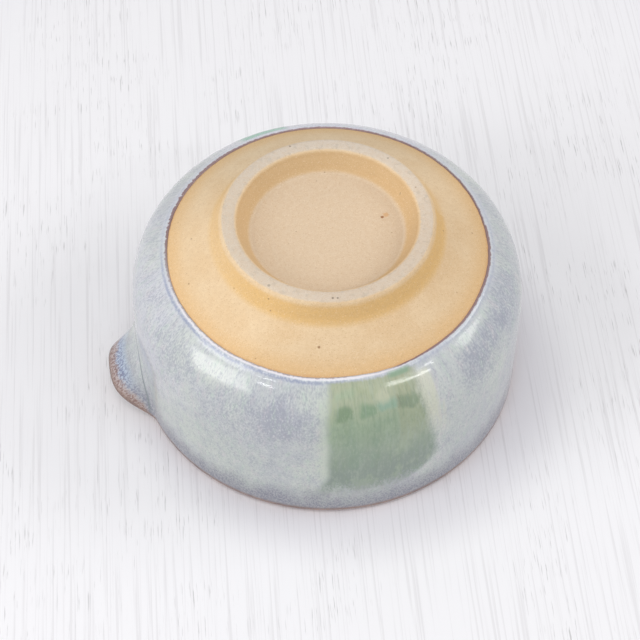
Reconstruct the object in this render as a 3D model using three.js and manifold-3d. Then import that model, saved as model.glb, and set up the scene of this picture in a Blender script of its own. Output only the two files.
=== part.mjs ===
// A pouring bowl of glazed stoneware: a thrown bowl on a turned foot ring, with a short wide spout let
// into its rim. Millimetres, +Z up through the mouth. The origin is on the bowl's axis, in the plane that
// the foot stands on, and the spout points along +X.
//
// The clay is three pieces: the bowl, its foot ring and the spout, which fills a notch in the wall with a
// thin seam of slip around it. The glaze lies on the clay in coats: an outside coat that stops above the
// foot, a lining, a thin iron-brown band over the lip, and two pours of green glaze on the outside coat.
//
// Everything but the foot ring has the same make-up: an outline of (radius, height) points is worked out at
// each of a row of angles about the axis, and the outlines are joined into one closed skin. Two coats that
// touch are built from the same points, so they meet face to face.

import * as THREE from "three";
import { mergeVertices } from "three/addons/utils/BufferGeometryUtils.js";
import Module from "manifold-3d";

// Sizes of the bowl. Radii and the height are taken over the glaze, as a ruler would read them.
const bowl = {
  radius: 65, // widest outside radius
  height: 73.5, // foot to lip
  widestHeight: 43, // where the shoulder ends and the upright wall begins
  clayWall: 3.6, // thickness of the clay in the upper wall
  clayFloor: 5.5, // thickness of the clay in the middle of the floor
  shoulderCurve: 3.8, // exponent of the outside curve between glaze line and widest point
  insideCurve: 3.4, // exponent of the inside curve between wall and floor
};

const foot = {
  outerRadius: 34.5, // of the face that it stands on
  innerRadius: 29,
  height: 6.5,
  outerFlare: 2.6, // how far the outer side spreads from the standing face to the bowl
  innerFlare: 2.8, // how far the inner side closes in
  edgeRounding: 1.1,
  recessRise: 0.5, // how much higher the recess is than the seat of the ring
  recessCorner: 2.8, // width of the slope that takes up this rise
};

const glaze = {
  thickness: 0.6,
  edgeThickness: 0.4, // where the outside coat stops, above the foot
  lineInset: 12.7, // how far inside the widest radius the outside coat stops
  lineHeight: 14.7,
  pourThickness: 0.5, // of the green glaze over the outside coat
  pourEdge: 0.15,
};

const spout = {
  reach: 12.85, // how far it stands out from the wall
  halfAngle: 17.7, // degrees either side of +X at the lip
  drop: 27.7, // from the lip to the bottom of its root
  dip: 6.1, // how far its lip lies below the bowl's lip
  clayWall: 3.2,
  hollowness: 2.3, // exponent of its underside, which is hollow from the lip to the root
  sideCurve: 1.77, // roundness of its plan at the lip
  rootCurve: 1, // and further down, where it meets the wall in a crease
  creaseFrom: 0.35, // share of the drop at which the crease begins to show
  creaseBy: 0.65, // and at which it is fully there
  slipSeam: 0.3, // all round the notch that it fills
};

// The green pours: from one angle to another, in degrees about the axis, and from a height above the glaze
// line to a depth below the lip. They end at the outlines and the outline points nearest to these.
const pours = [
  { name: "green_pour_front", from: 247.5, to: 277.5, aboveLine: 3, belowLip: 11 },
  { name: "green_pour_back", from: 67.5, to: 82.5, aboveLine: 3, belowLip: 15 },
];

// How finely things are divided.
const shoulderSteps = 5;
const wallSteps = 6;
const lipSteps = 4;
const insideSteps = 6;
const edgeSteps = 2; // in each rounded edge of the foot
const footSegments = 48;
const plugSegments = 14; // in the curve of the notch
const fineStep = 2.5; // degrees between outlines near the spout
const coarseStep = 7.5; // and elsewhere
const fineHalf = coarseStep * Math.ceil((spout.halfAngle + 1) / coarseStep);
const shoulderCrowding = 1.4; // outline points crowd towards the glaze line, where the curve is tightest

const clayRadius = bowl.radius - glaze.thickness;
const lipThickness = bowl.clayWall + 2 * glaze.thickness;
const lipRise = lipThickness / 2; // the lip is half round
const wallTop = bowl.height - lipRise;
const lineRadius = bowl.radius - glaze.lineInset;
const footBaseRadius = foot.outerRadius + foot.outerFlare;
const recessRadius = foot.innerRadius - foot.innerFlare;
const floorHeight = foot.height + foot.recessRise + bowl.clayFloor;
const insideRadius = clayRadius - bowl.clayWall;

const wasm = await Module();
wasm.setup();

function smooth(low, high, value) {
  const t = Math.min(1, Math.max(0, (value - low) / (high - low)));
  return t * t * (3 - 2 * t);
}

// The angles of the outlines, in degrees from the spout.
function outlineAngles() {
  const angles = [];
  for (let a = -fineHalf; a < fineHalf; a += fineStep) angles.push(a);
  for (let a = fineHalf; a < 360 - fineHalf; a += coarseStep) angles.push(a);
  return angles;
}

// How far the spout stands out from the wall at an angle and a depth below the lip.
function spoutBulge(angle, depth, reach, halfAngle, drop) {
  const d = Math.max(0, depth) / drop;
  if (d >= 1) return 0;
  const offAxis = Math.abs(((angle + 540) % 360) - 180);
  const u = offAxis / (halfAngle * Math.sqrt(1 - d * d));
  if (u >= 1) return 0;
  const out = reach * Math.pow(1 - d, spout.hollowness);
  const rounded = 0.5 * (1 + Math.cos(Math.PI * Math.pow(u, spout.sideCurve)));
  const creased = Math.pow(1 - u * u, spout.rootCurve);
  return out * THREE.MathUtils.lerp(rounded, creased, smooth(spout.creaseFrom, spout.creaseBy, d));
}

// The lip dips along the spout, and the wall below it is drawn down with it.
function dipped(angle, height) {
  const across = spoutBulge(angle, 0, 1, spout.halfAngle, 1);
  return height - spout.dip * across * smooth(wallTop - spout.drop, wallTop, height);
}

// Outside of the clay, from the glaze line up to the lip.
function clayOutside(angle) {
  const points = [];
  const rise = bowl.widestHeight - glaze.lineHeight;
  for (let i = 0; i <= shoulderSteps; i++) {
    const share = Math.pow(i / shoulderSteps, shoulderCrowding);
    const z = glaze.lineHeight + rise * share;
    const r = clayRadius - (clayRadius - lineRadius) * Math.pow(1 - share, bowl.shoulderCurve);
    points.push([r, z]);
  }
  for (let i = 1; i <= wallSteps; i++) {
    points.push([clayRadius, bowl.widestHeight + ((wallTop - bowl.widestHeight) * i) / wallSteps]);
  }
  return points.map(([r, z]) => [
    r + spoutBulge(angle, bowl.height - z, spout.reach, spout.halfAngle, spout.drop),
    dipped(angle, z),
  ]);
}

// Inside of the clay, from the lip down to the middle of the floor.
function clayInside(angle) {
  const points = [];
  const rise = bowl.widestHeight - floorHeight;
  for (let i = 0; i < wallSteps; i++) {
    const share = i / wallSteps;
    points.push([insideRadius, wallTop + (bowl.widestHeight - wallTop) * share]);
  }
  const power = 2 / bowl.insideCurve;
  for (let i = 0; i <= insideSteps; i++) {
    const turn = ((i / insideSteps) * Math.PI) / 2;
    const r = i === insideSteps ? 0 : insideRadius * Math.pow(Math.cos(turn), power);
    points.push([r, bowl.widestHeight - rise * Math.pow(Math.sin(turn), power)]);
  }
  const reach = spout.reach + bowl.clayWall - spout.clayWall;
  const halfWidth = clayRadius * Math.sin(THREE.MathUtils.degToRad(spout.halfAngle)) - spout.clayWall;
  const halfAngle = THREE.MathUtils.radToDeg(Math.asin(halfWidth / insideRadius));
  return points.map(([r, z]) => [
    r + spoutBulge(angle, bowl.height - z, reach, halfAngle, spout.drop - spout.clayWall),
    dipped(angle, z),
  ]);
}

// A half-round cap over two points at one height, without the points themselves.
function lipCap([outerRadius, height], [innerRadius], rise) {
  const middle = (outerRadius + innerRadius) / 2;
  const half = (outerRadius - innerRadius) / 2;
  const points = [];
  for (let i = 1; i < lipSteps; i++) {
    const turn = (i / lipSteps) * Math.PI;
    points.push([middle + half * Math.cos(turn), height + rise * Math.sin(turn)]);
  }
  return points;
}

// A coat's own surface: the points of an outline moved out by the coat's thickness, square to the outline.
// An end that meets another coat, or the axis, is moved in a direction of its own instead.
function coated(points, thicknessAt, ends = {}) {
  const last = points.length - 1;
  return points.map(([r, z], i) => {
    const [r0, z0] = points[Math.max(0, i - 1)];
    const [r1, z1] = points[Math.min(last, i + 1)];
    const length = Math.hypot(r1 - r0, z1 - z0);
    const square = [(z1 - z0) / length, (r0 - r1) / length];
    const [outR, outZ] = (i === 0 && ends.first) || (i === last && ends.last) || square;
    return [r + outR * thicknessAt(i), z + outZ * thicknessAt(i)];
  });
}

function glazeOutside(angle) {
  const thickness = (i) => (i === 0 ? glaze.edgeThickness : glaze.thickness);
  return coated(clayOutside(angle), thickness, { last: [1, 0] });
}

function glazeInside(angle) {
  return coated(clayInside(angle), () => glaze.thickness, { first: [-1, 0], last: [0, 1] });
}

// Joins one outline per angle into a closed skin, all the way round or, if closed is false, with flat ends.
// Outlines run anticlockwise, radius to the right and height up. Each four-sided cell is split along its
// shorter diagonal, so coats that share points share triangles.
function swept(angles, outlineAt, closed = true) {
  const outlines = angles.map(outlineAt);
  const rows = outlines[0].length;
  const positions = [];
  outlines.forEach((outline, k) => {
    const turn = THREE.MathUtils.degToRad(angles[k]);
    outline.forEach(([r, z]) => positions.push(r * Math.cos(turn), r * Math.sin(turn), z));
  });
  const corner = (n) => new THREE.Vector3().fromArray(positions, 3 * n);
  const triangles = [];
  const cells = closed ? angles.length : angles.length - 1;
  for (let k = 0; k < cells; k++) {
    for (let i = 0; i < rows; i++) {
      const a = k * rows + i;
      const b = k * rows + ((i + 1) % rows);
      const c = ((k + 1) % angles.length) * rows + ((i + 1) % rows);
      const d = ((k + 1) % angles.length) * rows + i;
      const alongAC = corner(a).distanceTo(corner(c)) <= corner(b).distanceTo(corner(d));
      triangles.push(...(alongAC ? [a, d, c, a, c, b] : [a, d, b, d, c, b]));
    }
  }
  if (!closed) {
    const start = outlines[0].map(([r, z]) => new THREE.Vector2(r, z));
    const end = outlines[cells].map(([r, z]) => new THREE.Vector2(r, z));
    THREE.ShapeUtils.triangulateShape(start, []).forEach(([a, b, c]) => triangles.push(a, b, c));
    const first = cells * rows;
    THREE.ShapeUtils.triangulateShape(end, []).forEach(([a, b, c]) =>
      triangles.push(first + c, first + b, first + a),
    );
  }
  return closedSkin(positions, triangles);
}

// Merges the points that coincide, as those on the axis do, and drops the triangles that this leaves flat.
function closedSkin(positions, triangles) {
  const geometry = new THREE.BufferGeometry();
  geometry.setAttribute("position", new THREE.Float32BufferAttribute(positions, 3));
  geometry.setIndex(triangles);
  const merged = mergeVertices(geometry, 1e-4);
  const index = [];
  for (let i = 0; i < merged.index.count; i += 3) {
    const [a, b, c] = [0, 1, 2].map((n) => merged.index.getX(i + n));
    if (a !== b && b !== c && c !== a) index.push(a, b, c);
  }
  merged.setIndex(index);
  return merged;
}

function toSolid(geometry) {
  const bare = geometry.clone();
  bare.deleteAttribute("normal");
  bare.deleteAttribute("uv");
  const merged = mergeVertices(bare, 1e-4);
  return new wasm.Manifold(
    new wasm.Mesh({
      numProp: 3,
      vertProperties: merged.attributes.position.array,
      triVerts: new Uint32Array(merged.index.array),
    }),
  );
}

function toGeometry(solid) {
  const mesh = solid.getMesh();
  const geometry = new THREE.BufferGeometry();
  geometry.setAttribute("position", new THREE.BufferAttribute(mesh.vertProperties, 3));
  geometry.setIndex(new THREE.BufferAttribute(mesh.triVerts, 1));
  return geometry;
}

// The clay of bowl and spout together, before the spout is parted from the bowl.
function wholeClay(angles) {
  return swept(angles, (angle) => {
    const outside = clayOutside(angle);
    const inside = clayInside(angle);
    return [
      [0, foot.height + foot.recessRise],
      [recessRadius - foot.recessCorner, foot.height + foot.recessRise],
      [recessRadius, foot.height],
      [footBaseRadius, foot.height],
      ...outside,
      ...lipCap(outside.at(-1), inside[0], bowl.clayWall / 2),
      ...inside,
    ];
  });
}

// A half-oval plug along +X in the shape of the spout's root, grown by a margin.
function spoutPlug(margin) {
  const halfWidth = clayRadius * Math.sin(THREE.MathUtils.degToRad(spout.halfAngle)) + margin;
  const above = bowl.height + lipThickness;
  const outline = new THREE.Shape();
  outline.moveTo(halfWidth, above);
  outline.lineTo(-halfWidth, above);
  outline.lineTo(-halfWidth, bowl.height);
  outline.absellipse(0, bowl.height, halfWidth, spout.drop + margin, Math.PI, 2 * Math.PI, false);
  outline.lineTo(halfWidth, above);
  const from = insideRadius / 2;
  const depth = bowl.radius + 2 * spout.reach - from;
  const settings = { depth, bevelEnabled: false, curveSegments: plugSegments };
  const plug = new THREE.ExtrudeGeometry(outline, settings);
  plug.rotateX(Math.PI / 2);
  plug.rotateZ(Math.PI / 2);
  plug.translate(from, 0, 0);
  return toSolid(plug);
}

function footRing() {
  const round = foot.edgeRounding;
  const corner = (r, side) => {
    const points = [];
    for (let i = 0; i <= edgeSteps; i++) {
      const turn = ((i / edgeSteps) * Math.PI) / 2;
      points.push([r + side * round * (Math.sin(turn) - 1), round * (1 - Math.cos(turn))]);
    }
    return points;
  };
  const outline = [
    ...corner(foot.innerRadius, -1).reverse(),
    ...corner(foot.outerRadius, 1),
    [footBaseRadius, foot.height],
    [recessRadius, foot.height],
  ];
  outline.push(outline[0]);
  const points = outline.map(([r, z]) => new THREE.Vector2(r, z));
  const ring = new THREE.LatheGeometry(points, footSegments);
  ring.rotateX(Math.PI / 2);
  return ring;
}

function outsideCoat(angles) {
  return swept(angles, (angle) => [...glazeOutside(angle), ...clayOutside(angle).reverse()]);
}

function liningCoat(angles) {
  return swept(angles, (angle) => [...glazeInside(angle), ...clayInside(angle).reverse()]);
}

function lipBand(angles) {
  return swept(angles, (angle) => {
    const clayOuter = clayOutside(angle).at(-1);
    const clayInner = clayInside(angle)[0];
    const outer = glazeOutside(angle).at(-1);
    const inner = glazeInside(angle)[0];
    const under = [clayOuter, ...lipCap(clayOuter, clayInner, bowl.clayWall / 2), clayInner];
    return [outer, ...lipCap(outer, inner, lipRise), inner, ...under.reverse()];
  });
}

// The row of the outside coat that lies nearest to a height.
function rowNear(height) {
  const gaps = glazeOutside(180).map(([, z]) => Math.abs(z - height));
  return gaps.indexOf(Math.min(...gaps));
}

function greenPour({ from, to, aboveLine, belowLip }) {
  const angles = outlineAngles().filter((a) => a > from - coarseStep / 2 && a <= to + coarseStep / 2);
  const firstRow = Math.max(1, rowNear(glaze.lineHeight + aboveLine));
  const lastRow = rowNear(bowl.height - belowLip);
  const outlineAt = (angle) => {
    const under = glazeOutside(angle).slice(firstRow, lastRow + 1);
    const onSide = angle === angles[0] || angle === angles.at(-1);
    const onEdge = (i) => i === 0 || i === under.length - 1 || onSide;
    const thickness = (i) => (onEdge(i) ? glaze.pourEdge : glaze.pourThickness);
    return [...coated(under, thickness), ...under.reverse()];
  };
  return swept(angles, outlineAt, false);
}

const bareClay = new THREE.MeshStandardMaterial({ color: 0xe3c193, roughness: 0.85, metalness: 0 });
const paleGlaze = new THREE.MeshStandardMaterial({ color: 0xb9c3c8, roughness: 0.15, metalness: 0 });
const ironBand = new THREE.MeshStandardMaterial({ color: 0x7d6353, roughness: 0.25, metalness: 0 });
const greenGlaze = new THREE.MeshStandardMaterial({ color: 0x87a085, roughness: 0.1, metalness: 0 });

const part = new THREE.Group();

function add(name, geometry, material) {
  const mesh = new THREE.Mesh(geometry, material);
  mesh.name = name;
  part.add(mesh);
}

const angles = outlineAngles();
const clay = toSolid(wholeClay(angles));
add("bowl_body", toGeometry(clay.subtract(spoutPlug(spout.slipSeam))), bareClay);
add("spout", toGeometry(clay.intersect(spoutPlug(0))), bareClay);
add("foot_ring", footRing(), bareClay);
add("outside_glaze", outsideCoat(angles), paleGlaze);
add("lining_glaze", liningCoat(angles), paleGlaze);
add("lip_band", lipBand(angles), ironBand);
pours.forEach((pour) => add(pour.name, greenPour(pour), greenGlaze));

export default part;
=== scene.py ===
import math

import bmesh
import bpy
import numpy as np
from mathutils import Matrix, Vector


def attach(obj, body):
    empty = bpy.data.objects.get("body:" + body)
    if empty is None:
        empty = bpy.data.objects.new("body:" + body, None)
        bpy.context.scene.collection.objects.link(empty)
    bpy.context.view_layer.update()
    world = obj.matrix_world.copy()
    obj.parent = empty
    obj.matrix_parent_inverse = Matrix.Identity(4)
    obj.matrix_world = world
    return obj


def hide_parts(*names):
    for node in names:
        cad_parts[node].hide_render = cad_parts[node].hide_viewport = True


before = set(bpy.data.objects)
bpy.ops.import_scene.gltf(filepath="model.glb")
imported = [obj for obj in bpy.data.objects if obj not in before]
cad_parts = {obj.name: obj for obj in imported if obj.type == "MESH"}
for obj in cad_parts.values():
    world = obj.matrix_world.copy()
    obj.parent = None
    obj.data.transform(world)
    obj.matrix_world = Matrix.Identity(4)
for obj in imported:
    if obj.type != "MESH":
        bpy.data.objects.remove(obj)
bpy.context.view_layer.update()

# A pouring bowl of glazed stoneware, in metres in the scene and in millimetres in this script. The bowl
# stands upright on its foot at the origin with its spout along +X. The camera looks up at it from below,
# with the picture turned over, because the photograph shows the bowl standing on its rim.
#
# The clay, the glaze coats and the green pours are built from one set of outlines, the same ones as the
# CAD model's but much finer, so that each coat lies on the clay and keeps its own thickness.

MM = 0.001

# The sizes of the CAD model.
RADIUS = 65.0
HEIGHT = 73.5
WIDEST_HEIGHT = 43.0
CLAY_WALL = 3.6
SHOULDER_CURVE = 3.8
INSIDE_CURVE = 3.4
FOOT_OUTER = 34.5
FOOT_INNER = 29.0
FOOT_HEIGHT = 6.5
FOOT_OUTER_BASE = 37.1
FOOT_INNER_BASE = 26.2
RECESS_RISE = 0.5
RECESS_CORNER = 2.8
COAT = 0.6
LINE_RADIUS = 52.3
LINE_HEIGHT = 14.7
FLOOR_HEIGHT = 12.5
CLAY_RADIUS = RADIUS - COAT
WALL_TOP = HEIGHT - CLAY_WALL / 2 - COAT
INSIDE_RADIUS = CLAY_RADIUS - CLAY_WALL
SPOUT_REACH = 12.85
SPOUT_HALF_ANGLE = 17.7
SPOUT_DROP = 27.7
SPOUT_DIP = 6.1
SPOUT_HOLLOWNESS = 2.3
SPOUT_SIDE_CURVE = 1.77
SPOUT_ROUND_TO = 0.35
SPOUT_CREASED_FROM = 0.65
SPOUT_CLAY = 3.2
SLIP_SEAM = 0.3
CONE_SLOPE = (LINE_HEIGHT - FOOT_HEIGHT) / (LINE_RADIUS - FOOT_OUTER_BASE)

# Sizes that only the looks have: the coat's rounded edge with its bead, the deeper glaze low down in the
# bowl, and the lens of a green pour.
EDGE_ROUNDING = 0.9
EDGE_SINK = 0.04
BEAD_SWELLING = 0.28
BEAD_FROM_EDGE = 1.3
BEAD_WIDTH = 1.0
POOL_DEPTH = 0.5
POOL_FROM_MIDDLE = 46.0
POOL_WIDTH = 9.0
POUR_THICKNESS = 0.19
POUR_BORDER = 4.0
POUR_SINK = 0.03

# How finely the surfaces are divided.
COAT_ANGLES = 600
CLAY_ANGLES = 360


def smooth(low, high, value):
    share = np.clip((value - low) / (high - low), 0, 1)
    return share * share * (3 - 2 * share)


def waves(seed, count, strength, around, along):
    """Smooth relief over angle (degrees) and height, closed round the bowl, between -strength and 0.

    around is how many waves go round the bowl, and along how long they are in height, from and to."""
    draw = np.random.RandomState(seed)
    turns = draw.randint(around[0], around[1], count)
    climbs = 2 * math.pi / draw.uniform(along[0], along[1], count) * draw.choice([-1, 1], count)
    starts = draw.uniform(0, 2 * math.pi, count)

    def relief(angle, height):
        total = 0
        for turn, climb, start in zip(turns, climbs, starts):
            total = total + np.cos(np.radians(angle) * turn + height * climb + start)
        return strength * 0.5 * (np.clip(total / math.sqrt(2 * count), -1, 1) - 1)

    return relief


# Waves so long that nothing changes with height.
ENDLESS = (1e5, 2e5)

hand_thrown = waves(3, 4, 0.14, around=(2, 5), along=(90, 200))
lip_height = waves(5, 3, 0.2, around=(2, 5), along=ENDLESS)
glaze_ripple = waves(11, 26, 0.035, around=(12, 44), along=(24, 90))
lining_ripple = waves(12, 20, 0.05, around=(10, 36), along=(24, 80))
edge_sway = waves(21, 7, 0.45, around=(3, 14), along=ENDLESS)
edge_crinkle = waves(22, 12, 0.22, around=(40, 110), along=ENDLESS)
turning_marks = waves(31, 9, 0.05, around=(1, 3), along=(0.9, 3.4))


def bulge(angle, height, reach, half_angle, drop):
    """How far the spout stands out from the wall, at an angle and a height of the outline."""
    depth = np.clip((HEIGHT - height) / drop, 0, 1)
    off_axis = np.abs((angle + 540) % 360 - 180)
    width = half_angle * np.sqrt(np.maximum(1 - depth * depth, 1e-9))
    across = np.clip(off_axis / width, 0, 1)
    out = reach * (1 - depth) ** SPOUT_HOLLOWNESS
    rounded = 0.5 * (1 + np.cos(math.pi * across**SPOUT_SIDE_CURVE))
    creased = 1 - across * across
    turn = smooth(SPOUT_ROUND_TO, SPOUT_CREASED_FROM, depth)
    return out * (rounded * (1 - turn) + creased * turn)


def settled(angle, height):
    """The height after the lip has dipped along the spout and swayed a little as thrown."""
    across = bulge(angle, HEIGHT, 1.0, SPOUT_HALF_ANGLE, 1.0)
    rising = smooth(WALL_TOP - SPOUT_DROP, WALL_TOP, height)
    return height + (lip_height(angle, 0) * (1 - across) - SPOUT_DIP * across) * rising


def shoulder_and_wall():
    """The outside of the clay from foot to lip: radii, heights, and lengths from the edge of the glaze."""
    cone = np.linspace(FOOT_OUTER_BASE, LINE_RADIUS, 80)[:-1]
    share = np.linspace(0, 1, 900) ** 1.4
    bend = np.linspace(0, 1, 300)[1:]
    radii = np.concatenate([
        cone,
        CLAY_RADIUS - (CLAY_RADIUS - LINE_RADIUS) * (1 - share) ** SHOULDER_CURVE,
        np.full(len(bend), CLAY_RADIUS),
    ])
    heights = np.concatenate([
        FOOT_HEIGHT + CONE_SLOPE * (cone - FOOT_OUTER_BASE),
        LINE_HEIGHT + (WIDEST_HEIGHT - LINE_HEIGHT) * share,
        WIDEST_HEIGHT + (WALL_TOP - WIDEST_HEIGHT) * bend,
    ])
    lengths = np.concatenate([[0], np.cumsum(np.hypot(np.diff(radii), np.diff(heights)))])
    return radii, heights, lengths - lengths[len(cone)]


def inside_line():
    """The inside of the clay from lip to middle: radii, heights, and lengths from the lip."""
    wall = np.linspace(WALL_TOP, WIDEST_HEIGHT, 200)[:-1]
    turn = np.linspace(0, math.pi / 2, 900)
    power = 2 / INSIDE_CURVE
    curve_radii = INSIDE_RADIUS * np.maximum(np.cos(turn), 0) ** power
    curve_radii[-1] = 0
    radii = np.concatenate([np.full(len(wall), INSIDE_RADIUS), curve_radii])
    rise = WIDEST_HEIGHT - FLOOR_HEIGHT
    heights = np.concatenate([wall, WIDEST_HEIGHT - rise * np.sin(turn) ** power])
    lengths = np.concatenate([[0], np.cumsum(np.hypot(np.diff(radii), np.diff(heights)))])
    return radii, heights, lengths


OUTSIDE = shoulder_and_wall()
INSIDE = inside_line()
OUTSIDE_LENGTH = OUTSIDE[2][-1]
INSIDE_LENGTH = INSIDE[2][-1]


def clay_outside(angle, length):
    """Radius and height of the clay's outside, for arrays of angles and lengths from the glaze's edge."""
    radius = np.interp(length, OUTSIDE[2], OUTSIDE[0])
    height = np.interp(length, OUTSIDE[2], OUTSIDE[1])
    out = bulge(angle, height, SPOUT_REACH, SPOUT_HALF_ANGLE, SPOUT_DROP)
    thrown = hand_thrown(angle, height) * smooth(LINE_HEIGHT, LINE_HEIGHT + 12, height)
    return radius + out + thrown, settled(angle, height)


def clay_inside(angle, length):
    """Radius and height of the clay's inside, for arrays of angles and of lengths from the lip."""
    radius = np.interp(length, INSIDE[2], INSIDE[0])
    height = np.interp(length, INSIDE[2], INSIDE[1])
    reach = SPOUT_REACH + CLAY_WALL - SPOUT_CLAY
    half_width = CLAY_RADIUS * math.sin(math.radians(SPOUT_HALF_ANGLE)) - SPOUT_CLAY
    half_angle = math.degrees(math.asin(half_width / INSIDE_RADIUS))
    out = bulge(angle, height, reach, half_angle, SPOUT_DROP - SPOUT_CLAY)
    thrown = hand_thrown(angle, height) * smooth(FLOOR_HEIGHT + 8, FLOOR_HEIGHT + 20, height)
    return radius + out + thrown, settled(angle, height)


def squarely_out(radius, height):
    """Unit directions square to the outlines, one outline per row of the arrays."""
    along_r = np.gradient(radius, axis=1)
    along_z = np.gradient(height, axis=1)
    size = np.hypot(along_r, along_z)
    return along_z / size, -along_r / size


def coat_lengths(angle):
    """Where the outside coat has its points, closest in its rounded edge, and how far each is from it."""
    near_edge = np.array([0, 0.03, 0.08, 0.15, 0.24, 0.35, 0.48, 0.63, 0.8, 1.0, 1.2, 1.45, 1.7, 2.0])
    upward = np.linspace(2.4, OUTSIDE_LENGTH - 0.5, 112)
    steps = np.concatenate([near_edge, upward])
    edge = edge_sway(angle, 0) + edge_crinkle(angle, 0) * edge_roughness(angle)
    stretch = (OUTSIDE_LENGTH - edge) / steps[-1]
    return edge + steps * stretch, steps * np.ones_like(edge)


def edge_roughness(angle):
    """The coat's edge is crinkled on the far side from the spout and smoother elsewhere."""
    off_back = np.abs((angle + 380) % 360 - 180)
    return 0.35 + 0.65 * (1 - smooth(30, 55, off_back))


def coat_outside(angle):
    """Radius, height and length from the edge of the outside coat's own surface, and the clay under it."""
    length, from_edge = coat_lengths(angle)
    clay_r, clay_z = clay_outside(angle, length)
    out_r, out_z = squarely_out(clay_r, clay_z)
    rounding = np.sqrt(1 - (1 - np.clip(from_edge / EDGE_ROUNDING, 0, 1)) ** 2)
    swelling = BEAD_SWELLING * np.exp(-(((from_edge - BEAD_FROM_EDGE) / BEAD_WIDTH) ** 2))
    below_lip = smooth(0, 4, OUTSIDE_LENGTH - length)
    ripple = glaze_ripple(angle, clay_z) * below_lip * smooth(1, 6, from_edge)
    thickness = (COAT + swelling) * rounding + ripple - EDGE_SINK * (1 - rounding)
    out_r[:, -1], out_z[:, -1] = 1, 0
    return clay_r + out_r * thickness, clay_z + out_z * thickness, from_edge, (clay_r, clay_z)


def coat_inside(angle):
    """Radius, height and length from the lip of the lining's own surface, and the clay under it."""
    steps = np.concatenate([np.linspace(0, 40, 70), np.linspace(40.7, INSIDE_LENGTH, 88)])
    length = steps * np.ones_like(angle)
    clay_r, clay_z = clay_inside(angle, length)
    out_r, out_z = squarely_out(clay_r, clay_z)
    out_r[:, 0], out_z[:, 0] = -1, 0
    out_r[:, -1], out_z[:, -1] = 0, 1
    from_pool = length - (INSIDE_LENGTH - POOL_FROM_MIDDLE)
    pooled = POOL_DEPTH * np.exp(-((from_pool / POOL_WIDTH) ** 2))
    near_lip = smooth(0, 5, length)
    near_middle = smooth(2, 14, clay_r)
    ripple = lining_ripple(angle, clay_z) * near_lip * near_middle
    thickness = COAT + pooled * near_lip + ripple
    return clay_r + out_r * thickness, clay_z + out_z * thickness, length, (clay_r, clay_z)


def lip_cap(outer_r, outer_z, inner_r, rise, count):
    """A half-round cap from one outline's end to the other's, without the ends."""
    turn = math.pi * np.arange(1, count) / count
    middle = (outer_r + inner_r) / 2
    half = (outer_r - inner_r) / 2
    return middle + half * np.cos(turn), outer_z + rise * np.sin(turn)


def all_angles(count):
    return (np.arange(count) * 360.0 / count)[:, None]


def placed(name, data):
    """A new object in the scene, with its mesh, lamp or camera."""
    made = bpy.data.objects.new(name, data)
    bpy.context.scene.collection.objects.link(made)
    return made


def grid_piece(name, angle, radius, height, shown, values=None):
    """A mesh whose points are outlines (closed loops of radius and height) at the angles given.

    The first shown points of each outline are the side that is seen, which is shaded smooth. The rest is
    the flat-shaded back. A piece that doesn't go all the way round has no thickness at its two ends."""
    turn = np.radians(angle)
    rows, columns = radius.shape
    x, y = radius * np.cos(turn), radius * np.sin(turn)
    points = np.stack([x, y, height], axis=2).reshape(-1, 3) * MM
    number = np.arange(rows * columns).reshape(rows, columns)
    on_axis = np.all(np.abs(radius) < 1e-9, axis=0)
    for column in np.nonzero(on_axis)[0]:
        number[:, column] = number[0, column]
    all_round = abs(float(angle[-1, 0] - angle[0, 0])) > 300
    faces, rounded = [], []
    for row in range(rows if all_round else rows - 1):
        here, there = number[row], number[(row + 1) % rows]
        for column in range(columns):
            after = (column + 1) % columns
            corners = [here[column], there[column], there[after], here[after]]
            corners = [int(c) for k, c in enumerate(corners) if c != corners[k - 1]]
            if len(set(corners)) > 2:
                faces.append(corners)
                rounded.append(column < shown - 1)
    mesh = bpy.data.meshes.new(name)
    mesh.from_pydata([tuple(p) for p in points], [], faces)
    for key, value in (values or {}).items():
        attribute = mesh.attributes.new(key, "FLOAT", "POINT")
        attribute.data.foreach_set("value", np.ascontiguousarray(value, dtype=np.float32).ravel())
    mesh.polygons.foreach_set("use_smooth", rounded)
    merge_points(mesh)
    return placed(name, mesh)


def merge_points(mesh):
    """Joins the points that coincide, as on the axis, and turns all faces outwards."""
    work = bmesh.new()
    work.from_mesh(mesh)
    loose = [v for v in work.verts if not v.link_faces]
    bmesh.ops.delete(work, geom=loose, context="VERTS")
    bmesh.ops.remove_doubles(work, verts=work.verts, dist=1e-4 * MM)
    bmesh.ops.recalc_face_normals(work, faces=work.faces)
    work.to_mesh(mesh)
    work.free()


def doubled(front, back):
    """One closed outline per angle: the front, and then the back in the other direction."""
    return np.concatenate([front, back[:, ::-1]], axis=1)


def layer(name, angle, front, back, values=None):
    """A piece with a front that is seen and a back, both given as radii and heights."""
    radius, height = doubled(front[0], back[0]), doubled(front[1], back[1])
    return grid_piece(name, angle, radius, height, front[0].shape[1], values)


def thinned(count, keep):
    """Numbers of the points of a coat's back: every few, and both ends."""
    return np.unique(np.concatenate([np.arange(0, count, keep), [count - 1]]))


def make_outside_coat():
    angle = all_angles(COAT_ANGLES)
    radius, height, from_edge, (clay_r, clay_z) = coat_outside(angle)
    back = thinned(radius.shape[1], 9)[1:]
    below_lip = from_edge[:, -1:] - from_edge
    values = {
        "from_edge": doubled(from_edge, from_edge[:, back]),
        "below_lip": doubled(below_lip, below_lip[:, back]),
    }
    clay = (clay_r[:, back], clay_z[:, back])
    return layer("glaze_coat_outside", angle, (radius, height), clay, values)


def make_lining():
    angle = all_angles(CLAY_ANGLES)
    radius, height, _, (clay_r, clay_z) = coat_inside(angle)
    back = thinned(radius.shape[1], 5)
    return layer("glaze_lining", angle, (radius, height), (clay_r[:, back], clay_z[:, back]))


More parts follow.
